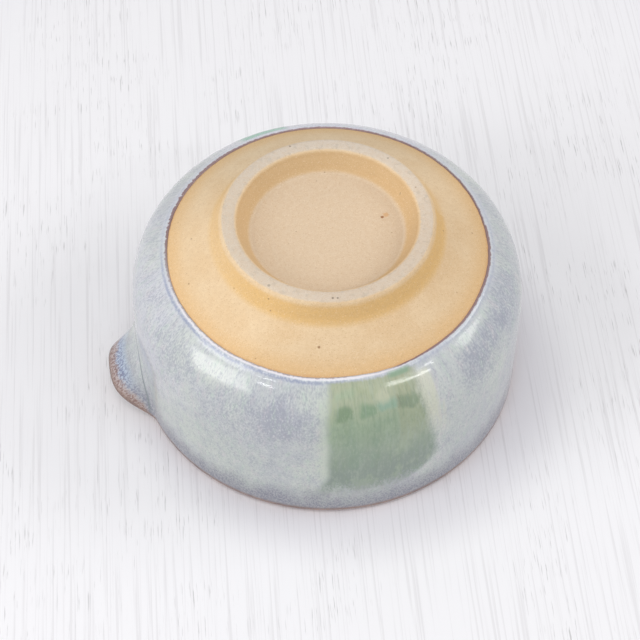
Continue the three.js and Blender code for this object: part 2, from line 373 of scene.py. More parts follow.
def make_lip_band():
    angle = all_angles(COAT_ANGLES)
    outer_r, outer_z, _, (clay_outer_r, _) = coat_outside(angle)
    inner_r, _, _, (clay_inner_r, _) = coat_inside(angle)
    top_z = outer_z[:, -1:]
    out_r, clay_out_r = outer_r[:, -1:], clay_outer_r[:, -1:]
    in_r, clay_in_r = inner_r[:, :1], clay_inner_r[:, :1]
    cap_r, cap_z = lip_cap(out_r, top_z, in_r, CLAY_WALL / 2 + COAT, 26)
    under_r, under_z = lip_cap(clay_out_r, top_z, clay_in_r, CLAY_WALL / 2, 12)
    front_r = np.concatenate([out_r, cap_r, in_r], axis=1)
    front_z = np.concatenate([top_z, cap_z, top_z], axis=1)
    back_r = np.concatenate([clay_out_r, under_r, clay_in_r], axis=1)
    back_z = np.concatenate([top_z, under_z, top_z], axis=1)
    values = {"below_lip": top_z - doubled(front_z, back_z)}
    return layer("iron_lip_band", angle, (front_r, front_z), (back_r, back_z), values)


def make_pour(name, from_angle, to_angle, from_height, to_height):
    """A pour of green glaze on the outside coat: a lens whose border lies a hair inside the coat."""
    step = 360.0 / COAT_ANGLES
    first, last = round(from_angle / step), round(to_angle / step)
    angle = (np.arange(first, last + 1) * step)[:, None]
    radius, height, from_edge, _ = coat_outside(angle)
    middle = len(angle) // 2
    inside = np.nonzero((height[middle] > from_height) & (height[middle] < to_height))[0]
    below_lip = (from_edge[:, -1:] - from_edge)[:, inside]
    radius, height, from_edge = radius[:, inside], height[:, inside], from_edge[:, inside]
    out_r, out_z = squarely_out(radius, height)
    sideways = np.minimum(angle - angle[0], angle[-1] - angle)
    upward = np.minimum(from_edge - from_edge[:, :1], from_edge[:, -1:] - from_edge)
    lens = smooth(0, POUR_BORDER, sideways) * smooth(0, POUR_BORDER, upward)
    thickness = POUR_THICKNESS * lens - POUR_SINK
    front = (radius + out_r * thickness, height + out_z * thickness)
    back = (radius - out_r * 2 * POUR_SINK, height - out_z * 2 * POUR_SINK)
    values = {
        "from_edge": doubled(from_edge, from_edge),
        "below_lip": doubled(below_lip, below_lip),
    }
    return layer(name, angle, front, back, values)


def make_bowl_clay():
    """The clay of bowl and spout together."""
    angle = all_angles(CLAY_ANGLES)
    ones = np.ones_like(angle)
    recess = np.linspace(0, FOOT_INNER_BASE - RECESS_CORNER, 44)
    cone = np.linspace(FOOT_OUTER_BASE, LINE_RADIUS - 1.5, 34)
    under_r = np.concatenate([recess, [FOOT_INNER_BASE], cone])
    under_z = np.concatenate([
        np.full(len(recess), FOOT_HEIGHT + RECESS_RISE),
        [FOOT_HEIGHT],
        FOOT_HEIGHT + CONE_SLOPE * (cone - FOOT_OUTER_BASE),
    ])
    free = (under_r > 1) & (under_r < FOOT_INNER_BASE - 4) | (under_r > FOOT_OUTER_BASE + 4)
    marks = turning_marks(angle, under_r * ones) * free * smooth(1, 3, under_r)
    under_r, under_z = under_r * ones, under_z * ones - marks
    outer_lengths = np.concatenate([np.linspace(-1.2, 2, 9), np.linspace(4, OUTSIDE_LENGTH, 34)])
    outer_r, outer_z = clay_outside(angle, outer_lengths * ones)
    inner_lengths = np.linspace(0, INSIDE_LENGTH, 44)
    inner_r, inner_z = clay_inside(angle, inner_lengths * ones)
    cap_r, cap_z = lip_cap(outer_r[:, -1:], outer_z[:, -1:], inner_r[:, :1], CLAY_WALL / 2, 12)
    outline_r = np.concatenate([under_r, outer_r, cap_r, inner_r], axis=1)
    outline_z = np.concatenate([under_z, outer_z, cap_z, inner_z], axis=1)
    return grid_piece("stoneware_clay", angle, outline_r, outline_z, outline_r.shape[1] + 1)


def make_foot():
    """The foot ring, with the hollows in which it runs out on to the cone and into the recess."""
    angle = all_angles(CLAY_ANGLES)
    ones = np.ones_like(angle)
    recess_z = FOOT_HEIGHT + RECESS_RISE
    inner_foot = np.array([FOOT_INNER_BASE + 0.7, FOOT_HEIGHT - 2.2])
    outer_foot = np.array([FOOT_OUTER_BASE - 0.9, FOOT_HEIGHT - 2.3])
    cone_end = np.array([FOOT_OUTER_BASE + 1.9, FOOT_HEIGHT + 1.9 * CONE_SLOPE])
    sunk = np.array([0, 0.05])
    recess_end = np.array([FOOT_INNER_BASE - 2.3, recess_z - 0.09])
    front = np.concatenate([
        bent(recess_end + sunk, [FOOT_INNER_BASE - 0.5, recess_z - 0.42], inner_foot, 14),
        bent([FOOT_INNER - 0.5, 1.8], [FOOT_INNER + 0.15, 0.0], [FOOT_INNER + 1.9, 0.0], 12),
        bent([FOOT_OUTER - 1.8, 0.0], [FOOT_OUTER - 0.2, 0.0], [FOOT_OUTER + 0.45, 1.7], 12),
        bent(outer_foot, [FOOT_OUTER_BASE - 0.1, FOOT_HEIGHT - 0.15], cone_end + sunk, 16),
    ])
    back = np.array([[FOOT_OUTER_BASE, FOOT_HEIGHT + 0.4], [FOOT_INNER_BASE, FOOT_HEIGHT + 0.4]])
    count = 90
    front = resampled(front, count)
    soft = -0.09 * hand_thrown(angle * 2, 0) * smooth(0, 3, 3 - front[:, 1])
    wavy = turning_marks(angle, 4 * front[:, 0] * ones) * 0.6
    inward = np.sign(front[:, 0] - (FOOT_INNER + FOOT_OUTER) / 2)
    off_ends = smooth(0, 6, np.minimum(np.arange(count), count - 1 - np.arange(count)))
    front_r = front[:, 0] * ones + wavy * inward * off_ends
    front_z = front[:, 1] * ones + soft * off_ends - wavy * 0.5 * off_ends
    outline_r = np.concatenate([front_r, back[:, 0] * ones], axis=1)
    outline_z = np.concatenate([front_z, back[:, 1] * ones], axis=1)
    return grid_piece("turned_foot_ring", angle, outline_r, outline_z, front_r.shape[1])


def bent(start, corner, end, count):
    """A quadratic curve from start to end that heads for the corner."""
    share = np.linspace(0, 1, count)[:, None]
    start, corner, end = (np.asarray(p, float) for p in (start, corner, end))
    return start * (1 - share) ** 2 + 2 * corner * share * (1 - share) + end * share**2


def resampled(points, count):
    lengths = np.concatenate([[0], np.cumsum(np.hypot(*np.diff(points, axis=0).T))])
    wanted = np.linspace(0, lengths[-1], count)
    return np.stack([np.interp(wanted, lengths, points[:, k]) for k in (0, 1)], axis=1)


def notch_plug(margin):
    """A half-oval prism along +X, the shape in which the spout is let into the wall."""
    half_width = CLAY_RADIUS * math.sin(math.radians(SPOUT_HALF_ANGLE)) + margin
    depth = SPOUT_DROP + margin
    turn = np.linspace(-math.pi / 2, math.pi / 2, 41)
    outline = [(half_width * math.sin(t), HEIGHT - depth * math.cos(t)) for t in turn]
    outline += [(half_width, HEIGHT + 6), (-half_width, HEIGHT + 6)]
    count = len(outline)
    ends = (INSIDE_RADIUS / 2, RADIUS + 2 * SPOUT_REACH)
    points = [(x * MM, y * MM, z * MM) for x in ends for y, z in outline]
    faces = [tuple(range(count))[::-1], tuple(range(count, 2 * count))]
    faces += [(k, (k + 1) % count, (k + 1) % count + count, k + count) for k in range(count)]
    mesh = bpy.data.meshes.new("plug")
    mesh.from_pydata(points, [], faces)
    return placed("plug", mesh)


def cut(name, piece, plug, operation):
    """A new piece: the old one with the plug taken away, or only what lies in the plug."""
    modifier = piece.modifiers.new("cut", "BOOLEAN")
    modifier.object = plug
    modifier.operation = operation
    modifier.solver = "EXACT"
    found = piece.evaluated_get(bpy.context.evaluated_depsgraph_get())
    mesh = bpy.data.meshes.new_from_object(found)
    piece.modifiers.remove(modifier)
    mesh.name = name
    bpy.data.objects.remove(plug)
    return placed(name, mesh)


# Colours are written as in a picture, red, green and blue from 0 to 255.
def rgb(red, green, blue):
    shares = [value / 255 for value in (red, green, blue)]
    return (*(((v + 0.055) / 1.055) ** 2.4 if v > 0.04045 else v / 12.92 for v in shares), 1.0)


class Nodes:
    """Short calls for the nodes of one material, or of the world."""

    def __init__(self, owner):
        owner.use_nodes = True
        self.owner = owner
        self.tree = owner.node_tree
        self.tree.nodes.clear()

    def connect(self, socket, value):
        if isinstance(value, bpy.types.NodeSocket):
            self.tree.links.new(value, socket)
        else:
            socket.default_value = value

    def add(self, kind, inputs=None, **settings):
        node = self.tree.nodes.new("ShaderNode" + kind)
        for key, value in settings.items():
            setattr(node, key, value)
        for key, value in (inputs or {}).items():
            self.connect(node.inputs[key], value)
        return node

    def math(self, operation, *values):
        node = self.add("Math", operation=operation)
        for socket, value in zip(node.inputs, values):
            self.connect(socket, value)
        return node.outputs[0]

    def times(self, *values):
        product = values[0]
        for value in values[1:]:
            product = self.math("MULTIPLY", product, value)
        return product

    def plus(self, first, second):
        return self.math("ADD", first, second)

    def off(self, value, middle):
        """How far a value is from the middle, to either side."""
        return self.math("ABSOLUTE", self.plus(value, -middle))

    def ramp(self, value, low, high):
        """0 up to low, 1 from high, and smooth between. With high below low it falls instead."""
        inputs = {"Value": value, "From Min": low, "From Max": high}
        return self.add("MapRange", inputs, interpolation_type="SMOOTHSTEP").outputs["Result"]

    def band(self, value, low, high, soft):
        """1 between low and high and 0 outside, with soft borders that reach as far to both sides."""
        rise = self.ramp(value, low - soft, low + soft)
        return self.times(rise, self.ramp(value, high + soft, high - soft))

    def mix(self, share, first, second, blend="MIX"):
        node = self.add("Mix", data_type="RGBA", blend_type=blend)
        self.connect(node.inputs[0], share)
        self.connect(node.inputs[6], first)
        self.connect(node.inputs[7], second)
        return node.outputs[2]

    def tint(self, colour, towards, value, low, high, strength):
        """The colour, mixed towards another as the value goes from low to high."""
        return self.mix(self.times(self.ramp(value, low, high), strength), colour, towards)

    def point(self, x, y, z):
        return self.add("CombineXYZ", {"X": x, "Y": y, "Z": z}).outputs[0]

    def noise(self, place, scale, detail=2.0, roughness=0.5):
        inputs = {"Vector": place, "Scale": scale, "Detail": detail, "Roughness": roughness}
        return self.add("TexNoise", inputs).outputs[0]

    def places(self):
        """The place in millimetres, whole and as x, y and z, its distance from the axis, its angle in
        degrees, and x and y pushed out to the wall, for streaks that run straight down."""
        found = self.add("TexCoord").outputs["Object"]
        scaled = self.add("VectorMath", {0: found, "Scale": 1000.0}, operation="SCALE").outputs[0]
        x, y, z = self.add("SeparateXYZ", {0: scaled}).outputs
        flat = self.point(x, y, 0.0)
        radius = self.add("VectorMath", {0: flat}, operation="LENGTH").outputs["Value"]
        angle = self.times(self.math("ARCTAN2", y, x), 180 / math.pi)
        around = self.add("VectorMath", {0: flat}, operation="NORMALIZE").outputs[0]
        around = self.add("VectorMath", {0: around, "Scale": RADIUS}, operation="SCALE").outputs[0]
        streaky = self.add("SeparateXYZ", {0: around}).outputs[:2]
        return scaled, (x, y, z), radius, angle, streaky

    def bump(self, height, distance_mm):
        inputs = {"Height": height, "Distance": distance_mm * MM, "Strength": 1.0}
        return self.add("Bump", inputs).outputs[0]

    def surface(self, colour, roughness, normal, **sockets):
        inputs = {"Base Color": colour, "Roughness": roughness, "Normal": normal}
        shader = self.add("BsdfPrincipled", inputs)
        for key, value in sockets.items():
            shader.inputs[key.replace("_", " ")].default_value = value
        self.add("OutputMaterial", {"Surface": shader.outputs[0]})
        return self.owner


# Marks in the bare clay: x, y, radius, colour, strength. The first two are one rusty pit.
CLAY_MARKS = (
    (-19.9, 3.9, 1.0, (212, 164, 112), 0.7),
    (-18.6, 3.1, 0.55, (158, 106, 66), 0.95),
    (-25.6, 9.3, 0.3, (160, 128, 96), 0.5),
    (6.9, 32.3, 0.4, (130, 112, 92), 0.7),
    (-23.8, 21.8, 0.4, (140, 124, 106), 0.6),
    (3.8, -32.2, 0.4, (120, 106, 92), 0.8),
    (2.3, -32.4, 0.35, (120, 106, 92), 0.8),
    (22.5, -24.0, 0.5, (150, 138, 122), 0.6),
    (9.9, -42.7, 0.4, (146, 108, 76), 0.85),
)


def clay_material():
    n = Nodes(bpy.data.materials.new("bare_stoneware"))
    place, (x, y, z), radius, angle, _ = n.places()
    cloud = n.noise(place, 0.09, 3)
    mottle = n.noise(place, 0.7, 4, 0.6)
    grain = n.noise(place, 2.6, 3, 0.6)
    colour = n.mix(n.ramp(cloud, 0.35, 0.65), rgb(231, 201, 160), rgb(235, 208, 170))
    in_recess = n.ramp(radius, FOOT_INNER_BASE + 0.4, FOOT_INNER_BASE - 1.2)
    recess = n.times(in_recess, n.ramp(z, FOOT_HEIGHT - 1.3, FOOT_HEIGHT + 0.1))
    colour = n.mix(recess, colour, rgb(221, 198, 170))
    inner_wall = n.times(
        n.ramp(radius, FOOT_INNER + 1.0, FOOT_INNER),
        n.ramp(radius, FOOT_INNER_BASE - 1.6, FOOT_INNER_BASE - 0.2),
        n.ramp(z, 0.2, 1.2),
    )
    colour = n.mix(n.times(inner_wall, 0.85), colour, rgb(213, 178, 130))
    hollow = n.times(
        n.ramp(radius, FOOT_OUTER - 0.7, FOOT_OUTER + 0.3),
        n.ramp(radius, FOOT_OUTER_BASE + 2.1, FOOT_OUTER_BASE - 0.1),
        n.ramp(z, 0.6, 2.4),
    )
    # Painted shade: the fillet's ochre is partly the clay's own tone, and its extra strength towards -Y is
    # painted shade.
    shaded = n.plus(0.5, n.times(n.ramp(angle, -5.0, -45.0), 0.35))
    colour = n.mix(n.times(hollow, shaded), colour, rgb(230, 188, 120))
    face = n.ramp(n.plus(z, n.times(n.plus(mottle, -0.5), 0.4)), 0.5, 0.1)
    colour = n.mix(n.times(face, 0.9), colour, rgb(220, 206, 190))
    # Painted shade: the foot's face is made a little darker towards +X, where the lamps light it most.
    colour = n.mix(n.times(face, n.ramp(x, 8.0, 30.0)), colour, rgb(247, 247, 246), "MULTIPLY")
    smudge = n.times(face, n.ramp(n.noise(place, 0.45, 3, 0.6), 0.52, 0.68))
    colour = n.mix(n.times(smudge, 0.5), colour, rgb(196, 184, 168))
    blurred = n.plus(radius, n.times(n.plus(cloud, -0.5), 7.0))
    colour = n.tint(colour, rgb(228, 186, 128), blurred, LINE_RADIUS - 7.3, LINE_RADIUS - 0.3, 0.7)
    blurred = n.plus(radius, n.plus(mottle, -0.5))
    colour = n.tint(colour, rgb(204, 146, 100), blurred, LINE_RADIUS - 1.0, LINE_RADIUS - 0.1, 0.4)
    colour = n.mix(n.ramp(mottle, 0.36, 0.64), n.mix(0.18, colour, rgb(205, 170, 125)), colour)
    colour = n.tint(colour, rgb(248, 230, 204), grain, 0.55, 0.72, 0.45)
    colour = n.tint(colour, rgb(196, 158, 114), grain, 0.43, 0.28, 0.65)
    # Painted shade: the clay is made darker and warmer towards the back (+Y), and darker towards -Y and -X.
    colour = n.mix(n.ramp(y, 5.0, 48.0), colour, rgb(236, 240, 245), "MULTIPLY")
    front = n.ramp(n.plus(y, n.times(x, 0.7)), -8.0, -36.0)
    colour = n.mix(front, colour, rgb(245, 244, 243), "MULTIPLY")
    specks = n.add("TexVoronoi", {"Vector": place, "Scale": 0.30})
    rare = n.add("SeparateColor", {0: specks.outputs["Color"]}).outputs[0]
    speck = n.times(n.ramp(specks.outputs["Distance"], 0.12, 0.06), n.ramp(rare, 0.86, 0.88))
    colour = n.mix(n.times(speck, 0.55), colour, rgb(150, 110, 78))
    for mark_x, mark_y, size, tint, strength in CLAY_MARKS:
        off = n.point(n.plus(x, -mark_x), n.plus(y, -mark_y), 0.0)
        away = n.add("VectorMath", {0: off}, operation="LENGTH").outputs["Value"]
        away = n.plus(away, n.times(n.plus(grain, -0.5), size))
        colour = n.tint(colour, rgb(*tint), away, 1.3 * size, 0.5 * size, strength)
    rings = n.math("SINE", n.times(n.plus(radius, n.times(n.noise(place, 0.05, 1), 3.0)), 2.9))
    height = n.plus(grain, n.times(rings, 0.12))
    height = n.plus(height, n.times(speck, -0.8))
    return n.surface(colour, n.plus(0.78, n.times(mottle, 0.16)), n.bump(height, 0.05))


# Soft zones of the outside glaze: angle, height, half width in degrees, half height, colour, strength, and
# how much denser the freckles are there.
SOFT_ZONES = (
    (-69, 26, 10, 7, (176, 178, 192), 0.7, 0.7),
    (-57, 30, 18, 9, (186, 188, 196), 0.5, 0.4),
    (-43, 50, 22, 12, (190, 198, 190), 0.5, 0.0),
    (-4, 32, 34, 18, (206, 206, 218), 0.65, 0.1),
    (-11, 17, 14, 4, (206, 206, 218), 0.5, 0.2),
    (-27, 24, 10, 7, (186, 190, 196), 0.5, 0.5),
    (-43, 19, 9, 3, (214, 218, 210), 0.5, 0.0),
    (-119, 24, 7, 8, (205, 210, 207), 0.6, -0.2),
    (-137, 16, 19, 2.3, (203, 209, 204), 0.7, -0.2),
    (-139, 21, 11, 4, (176, 180, 192), 0.65, 0.5),
    (-130, 26, 8, 8, (180, 183, 193), 0.5, 0.5),
    (-122, 42, 9, 14, (192, 199, 195), 0.6, 0.0),
    (-156, 22, 11, 8, (180, 184, 195), 0.6, 0.5),
    (100, 20, 45, 9, (212, 210, 226), 0.7, 0.0),
)


def glaze_colour(n, z, angle, tangled, inside):
    """Pale glaze: clouds of grey-green and lavender, under fine freckles that gather in some zones."""
    clouds = n.noise(n.point(*tangled, n.times(z, 0.8)), 0.05, 3, 0.5)
    colour = n.mix(n.ramp(clouds, 0.38, 0.62), rgb(187, 191, 195), rgb(197, 203, 198))
    sway = n.plus(n.noise(n.point(*tangled, n.times(z, 0.6)), 0.18, 2), -0.5)
    blotch = n.noise(n.point(*tangled, n.times(z, 0.7)), 0.3, 3, 0.6)
    dense = n.times(n.ramp(blotch, 0.48, 0.68), 0.5)
    zones = () if inside else SOFT_ZONES
    for middle_angle, middle_height, wide, high, tint, strength, freckles in zones:
        off = n.times(n.plus(angle, -middle_angle), 1.0 / wide)
        up = n.times(n.plus(z, -middle_height), 1.0 / high)
        away = n.plus(n.math("POWER", off, 2.0), n.math("POWER", up, 2.0))
        near = n.ramp(n.plus(away, n.times(sway, 2.4)), 1.5, 0.0)
        colour = n.mix(n.times(near, strength), colour, rgb(*tint))
        dense = n.plus(dense, n.times(near, freckles))
    colour = n.tint(colour, rgb(174, 177, 188), blotch, 0.50, 0.70, 0.3)
    colour = n.tint(colour, rgb(206, 212, 205), blotch, 0.48, 0.32, 0.3)
    hue = n.noise(n.point(*tangled, n.times(z, 0.5)), 0.55, 2, 0.6)
    colour = n.tint(colour, rgb(206, 198, 204), hue, 0.55, 0.70, 0.4)
    colour = n.tint(colour, rgb(184, 202, 190), hue, 0.45, 0.30, 0.4)
    hair = n.noise(n.point(*tangled, n.times(z, 0.4)), 1.2, 3, 0.65)
    colour = n.tint(colour, rgb(164, 169, 180), hair, 0.52, 0.68, 0.26)
    colour = n.tint(colour, rgb(214, 219, 214), hair, 0.46, 0.32, 0.28)
    fleck = n.noise(n.point(*tangled, n.times(z, 0.75)), 1.8, 3, 0.65)
    gathered = n.plus(fleck, n.times(n.plus(dense, 0.3), 0.12))
    colour = n.tint(colour, rgb(140, 144, 160), gathered, 0.53, 0.72, 0.45)
    colour = n.tint(colour, rgb(226, 229, 226), fleck, 0.45, 0.28, 0.35)
    return colour, sway, hair, fleck


def glaze_material(name, inside=False, has_edge=False, has_lip=True):
    """The glaze of one piece. The pours and the coat share it, so that no border shows between them.

    has_edge and has_lip say that the mesh knows its distance from the coat's edge, or from the lip."""
    n = Nodes(bpy.data.materials.new(name))
    place, (x, y, z), radius, angle, tangled = n.places()
    tangled = (x, y) if inside else tangled
    colour, sway, hair, fleck = glaze_colour(n, z, angle, tangled, inside)
    if inside:
        pool = n.times(n.ramp(n.plus(z, n.times(sway, 12.0)), 27.0, 14.0), 0.6)
        colour = n.mix(pool, colour, rgb(170, 186, 194))
    if has_edge:
        from_edge = n.add("Attribute", attribute_name="from_edge").outputs["Fac"]
        crumbly = n.plus(n.noise(place, 0.9, 2), -0.5)
        spout_to_pour = n.ramp(n.off(angle, -42.0), 58.0, 30.0)
        colour = with_bead(n, colour, angle, from_edge, crumbly, hair, spout_to_pour)
        strokes = n.noise(n.point(*tangled, n.times(z, 0.14)), 0.7, 3, 0.6)
        colour = with_green(n, colour, z, angle, from_edge, sway, hair, fleck, strokes)
    if has_lip:
        below_lip = n.add("Attribute", attribute_name="below_lip").outputs["Fac"]
    else:
        below_lip = n.math("SUBTRACT", WALL_TOP, z)
    uneven = n.plus(sway, n.times(n.plus(fleck, -0.5), 1.2))
    # Towards the lip the glaze is freckled and darker. On the outside this band is made stronger, partly as
    # painted shade near the rim.
    near_lip = n.ramp(n.plus(below_lip, n.times(sway, 10.0)), 15.0, 1.0)
    freckled = n.mix(n.ramp(fleck, 0.34, 0.63), rgb(158, 160, 169), rgb(117, 116, 132))
    colour = n.mix(n.times(near_lip, 0.3 if inside else 0.85), colour, freckled)
    if not inside:
        colour = with_spout_colours(n, colour, radius, angle, below_lip, fleck, hair, sway)
    iron = n.ramp(n.plus(below_lip, uneven), 1.6, -0.4)
    brown = n.mix(n.ramp(sway, -0.12, 0.12), rgb(127, 100, 90), rgb(147, 117, 102))
    brown = n.tint(brown, rgb(152, 142, 152), fleck, 0.50, 0.66, 0.45)
    colour = n.mix(n.times(iron, 0.88), colour, brown)
    if has_edge:
        colour = with_crease(n, colour, z, angle)
        colour = with_edge_line(n, colour, angle, from_edge, crumbly, spout_to_pour)
    roughness = n.plus(0.11, n.times(n.ramp(fleck, 0.5, 0.8), 0.10))
    height = n.plus(n.times(fleck, 0.25), n.noise(place, 0.35, 2))
    return n.surface(colour, roughness, n.bump(height, 0.012), IOR=1.55)


# Patches low in the front pour: angle, half width in degrees, from height, to height, colour, strength.
GREEN_PATCHES = (
    (-85.3, 2.4, 20.6, 24.0, (110, 138, 102), 0.8),
    (-92.4, 2.4, 20.2, 23.2, (116, 148, 116), 0.8),
    (-98.2, 3.0, 19.6, 22.2, (132, 168, 148), 0.75),
    (-102.2, 0.4, 19.0, 22.6, (84, 102, 78), 0.8),
    (-105.4, 3.0, 19.4, 23.2, (122, 142, 112), 0.8),
    (-108.0, 0.5, 19.2, 19.8, (232, 228, 212), 0.8),
    (-85.5, 3.0, 16.6, 18.4, (160, 180, 150), 0.6),
    (-92.5, 3.5, 17.0, 18.2, (160, 170, 134), 0.6),
    (-97.5, 2.4, 17.4, 20.0, (196, 198, 172), 0.6),
)


def with_green(n, colour, z, angle, from_edge, sway, hair, fleck, strokes):
    """The front pour, pale along both sides and with darker patches low down, and the back one."""
    ragged = n.plus(n.plus(fleck, hair), -1.0)
    around = n.plus(n.plus(angle, n.times(sway, 2.2)), n.times(ragged, 1.6))
    height = n.plus(z, n.times(sway, 5.0))
    right_edge = n.plus(-109.6, n.times(n.math("MAXIMUM", n.plus(z, -24.0), 0.0), -0.15))
    turned_in = n.times(n.math("POWER", n.math("MAXIMUM", n.plus(z, -49.0), 0.0), 2.0), 0.08)
    past_right = n.math("SUBTRACT", around, n.plus(right_edge, turned_in))
    wavy = n.times(n.plus(strokes, -0.5), 9.0)
    fringe_left = n.times(n.band(around, -81.2, -78.0, 1.2), n.band(height, 17.0, 54.0, 4.0))
    fringe_right = n.times(n.band(n.plus(past_right, wavy), -4.2, 0.3, 2.2), n.ramp(z, 48.0, 26.0))
    fringe_right = n.times(fringe_right, n.ramp(z, 15.8, 17.0))
    colour = n.mix(n.times(fringe_left, 0.4), colour, rgb(192, 204, 182))
    colour = n.mix(n.times(fringe_right, 0.6), colour, rgb(214, 215, 190))
    spread = n.times(n.ramp(z, 50.0, 62.0), 3.0)
    past_left = n.math("SUBTRACT", around, spread)
    sides = n.times(n.ramp(past_left, -79.4, -82.2), n.ramp(past_right, -1.6, 2.4))
    off_bead = n.ramp(n.plus(from_edge, ragged), 1.3, 2.3)
    frayed = n.plus(height, n.times(ragged, 14.0))
    ends = n.times(off_bead, n.ramp(frayed, 63.5, 55.0))
    green = n.mix(n.ramp(height, 24.0, 54.0), rgb(148, 168, 140), rgb(128, 143, 133))
    green = n.tint(green, rgb(122, 150, 124), sway, 0.05, 0.2, 0.4)
    green = n.tint(green, rgb(166, 182, 154), sway, -0.05, -0.2, 0.4)
    green = n.tint(green, rgb(176, 181, 152), height, 27.0, 17.0, 0.85)
    right_column = n.times(n.ramp(around, -100.4, -101.6), n.ramp(height, 44.0, 26.0), 0.5)
    green = n.mix(right_column, green, rgb(160, 164, 132))
    for middle, half, low, high, tint, strength in GREEN_PATCHES:
        across = n.band(around, middle - half, middle + half, 0.9)
        green = n.mix(n.times(across, n.band(height, low, high, 0.9), strength), green, rgb(*tint))
    green = n.tint(green, rgb(118, 142, 112), strokes, 0.52, 0.68, 0.3)
    green = n.tint(green, rgb(160, 174, 158), strokes, 0.48, 0.34, 0.3)
    green = n.tint(green, rgb(120, 138, 124), hair, 0.5, 0.7, 0.3)
    green = n.tint(green, rgb(172, 186, 164), hair, 0.48, 0.34, 0.22)
    colour = n.mix(n.times(sides, ends, 0.93), colour, green)
    back_sides = n.band(around, 69.0, 85.0, 1.5)
    teal = n.mix(n.ramp(height, 18.0, 28.0), rgb(124, 181, 155), rgb(140, 164, 146))
    return n.mix(n.times(back_sides, off_bead, 0.9), colour, teal)


def with_bead(n, colour, angle, from_edge, crumbly, hair, spout_to_pour):
    """The coat's thick edge: pale lavender, a violet line, and a white crest, stronger in front as a
    painted highlight.
    """
    broken = n.plus(from_edge, n.plus(n.times(n.plus(hair, -0.5), 3.0), n.times(crumbly, 1.5)))
    colour = n.tint(colour, rgb(206, 209, 221), broken, 4.2, 1.4, 0.45)
    uneven = n.plus(from_edge, n.plus(n.times(n.plus(hair, -0.5), 1.6), n.times(crumbly, 0.8)))
    violet = n.times(n.band(uneven, 1.3, 2.2, 0.4), n.plus(0.25, n.times(spout_to_pour, 0.5)))
    violet = n.times(violet, n.ramp(crumbly, -0.3, 0.05))
    colour = n.mix(violet, colour, rgb(142, 151, 179))
    # The white crest: a little all round from the thick glaze, and much more in front as a painted
    # highlight.
    highlight_side = n.ramp(n.off(angle, -58.0), 56.0, 34.0)
    white = n.times(n.band(from_edge, 0.4, 0.9, 0.3), n.plus(0.1, n.times(highlight_side, 0.8)))
    return n.mix(white, colour, rgb(240, 235, 242))


def with_edge_line(n, colour, angle, from_edge, crumbly, spout_to_pour):
    """A brown line where the coat ends, wider at both sides and faint below the pour, and a green dab."""
    across = n.band(angle, -108.0, -100.6, 1.4)
    dab = n.times(across, n.band(from_edge, 1.0, 2.9, 0.5), 0.85)
    colour = n.mix(dab, colour, rgb(140, 168, 142))
    left_side = n.band(angle, 0.0, 62.0, 12.0)
    right_side = n.ramp(n.off(angle, -145.0), 45.0, 25.0)
    crumbs = n.plus(0.5, n.times(n.math("MAXIMUM", spout_to_pour, left_side), 1.1))
    ragged = n.plus(from_edge, n.times(crumbly, crumbs))
    ragged = n.plus(ragged, n.times(n.math("MAXIMUM", left_side, right_side), -0.25))
    strength = n.plus(0.85, n.times(spout_to_pour, -0.45))
    below_pour = n.band(angle, -104.0, -88.0, 3.0)
    strength = n.times(strength, n.plus(1.0, n.times(below_pour, -0.75)))
    return n.mix(n.times(n.ramp(ragged, 0.5, 0.2), strength), colour, rgb(126, 92, 92))


def with_crease(n, colour, z, angle):
    """A darker line round the root of the spout: partly glaze gathered in the crease, partly painted shade.
    """
    depth = n.times(n.math("SUBTRACT", HEIGHT, z), 1.0 / SPOUT_DROP)
    across = n.times(angle, 1.0 / SPOUT_HALF_ANGLE)
    from_middle = n.math("SQRT", n.plus(n.math("POWER", across, 2.0), n.math("POWER", depth, 2.0)))
    line = n.ramp(n.off(from_middle, 0.88), 0.035, 0.0)
    return n.mix(n.times(line, n.ramp(depth, 0.12, 0.25), 0.85), colour, rgb(126, 134, 138))


def with_spout_colours(n, colour, radius, angle, below_lip, fleck, hair, sway):
    """Up the spout: light blue, violet-blue freckles and rust at its lip. The near flank is towards -Y."""
    on_spout = n.ramp(radius, RADIUS + 0.6, RADIUS + 2.6)
    down = n.plus(below_lip, n.plus(n.times(sway, 3.0), n.times(n.plus(hair, -0.5), 4.0)))
    far_flank = n.ramp(angle, 3.0, 11.0)
    near_flank = n.ramp(angle, -3.0, -12.0)
    light_blue = n.mix(far_flank, rgb(184, 202, 218), rgb(226, 232, 240))
    light_depth = n.plus(down, n.times(far_flank, -3.0))
    strength = n.plus(0.45, n.times(near_flank, -0.45))
    colour = n.mix(n.times(on_spout, n.ramp(light_depth, 9.5, 6.5), strength), colour, light_blue)
    freckles = n.mix(n.ramp(fleck, 0.38, 0.60), rgb(180, 194, 214), rgb(112, 118, 150))
    freckled = n.times(n.ramp(n.plus(down, far_flank), 8.4, 4.6), n.plus(0.85, n.times(near_flank, -0.75)))
    colour = n.mix(n.times(on_spout, freckled), colour, freckles)
    rust_depth = n.plus(down, -0.9)
    rusty = n.mix(n.ramp(fleck, 0.38, 0.58), rgb(188, 170, 164), rgb(136, 105, 92))
    rusty = n.mix(n.times(near_flank, n.ramp(down, 1.6, 3.0), 0.6), rusty, rgb(196, 184, 180))
    return n.mix(n.times(on_spout, n.ramp(rust_depth, 3.4, 1.2), 0.85), colour, rusty)


# The table is of white-painted boards, whose grain runs away from the camera. Sizes of one line and of one
# pore: width, length, and a depth that doesn't show.
GRAIN_TURN = math.radians(4.9)
GRAIN_LINES = (0.9 * MM, 70 * MM, 3 * MM)
GRAIN_PORES = (0.5 * MM, 12 * MM, 3 * MM)


def board_grain(n, place, size):
    turned = {"Vector": place, "Rotation": (0, 0, GRAIN_TURN), "Scale": size}
    return n.noise(n.add("Mapping", turned, vector_type="TEXTURE").outputs[0], 1.0, 3)


